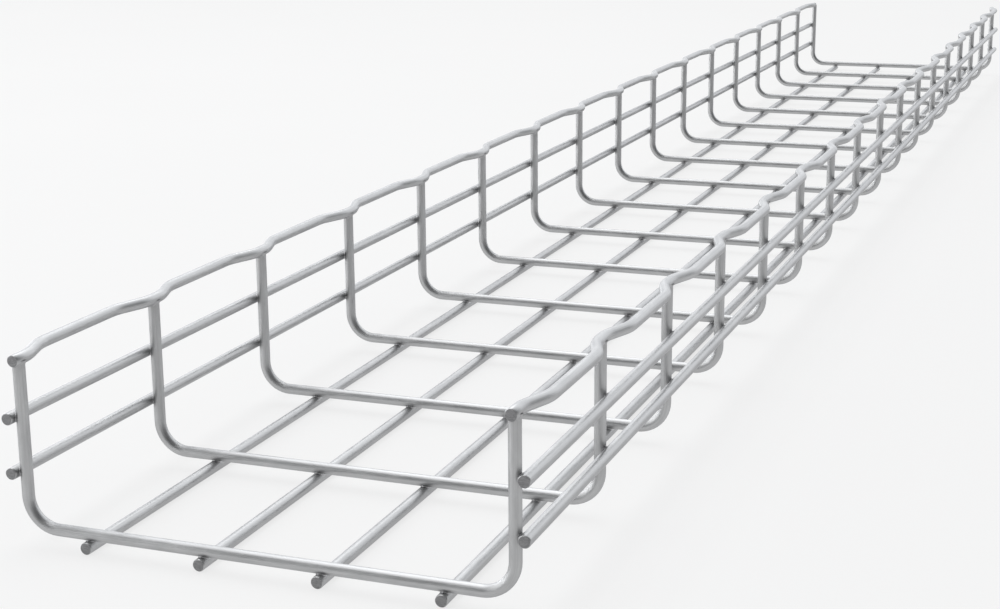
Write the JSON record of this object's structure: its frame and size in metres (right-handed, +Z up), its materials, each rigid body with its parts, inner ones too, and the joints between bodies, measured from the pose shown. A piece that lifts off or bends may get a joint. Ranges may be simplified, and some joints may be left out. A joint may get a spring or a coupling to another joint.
{
  "type": "wire mesh cable basket",
  "caption": "Straight section of welded wire mesh cable basket: U-shaped cross wires, straight bottom and side wires and wavy rim wires along both sides.",
  "frame": {"origin": "centre of the section's footprint, on the plane that the bottom wires rest on", "axes": "+Y along the section, +X across it to the right when looking along +Y, +Z up, out of the open trough"},
  "size_m": [0.221, 1.608, 0.0787],
  "materials": {
    "wire": "bright zinc plated"
  },
  "bodies": {
    "root": {"cross_wire_01": "wire", "cross_wire_02": "wire", "cross_wire_03": "wire", "cross_wire_04": "wire", "cross_wire_05": "wire", "cross_wire_06": "wire", "cross_wire_07": "wire", "cross_wire_08": "wire", "cross_wire_09": "wire", "cross_wire_10": "wire", "cross_wire_11": "wire", "cross_wire_12": "wire", "cross_wire_13": "wire", "cross_wire_14": "wire", "cross_wire_15": "wire", "cross_wire_16": "wire", "cross_wire_17": "wire", "bottom_wire_1": "wire", "bottom_wire_2": "wire", "bottom_wire_3": "wire", "bottom_wire_4": "wire", "side_wire_left_lower": "wire", "side_wire_left_upper": "wire", "side_wire_right_lower": "wire", "side_wire_right_upper": "wire", "rim_wire_left": "wire", "rim_wire_right": "wire"}
  },
  "joints": []
}
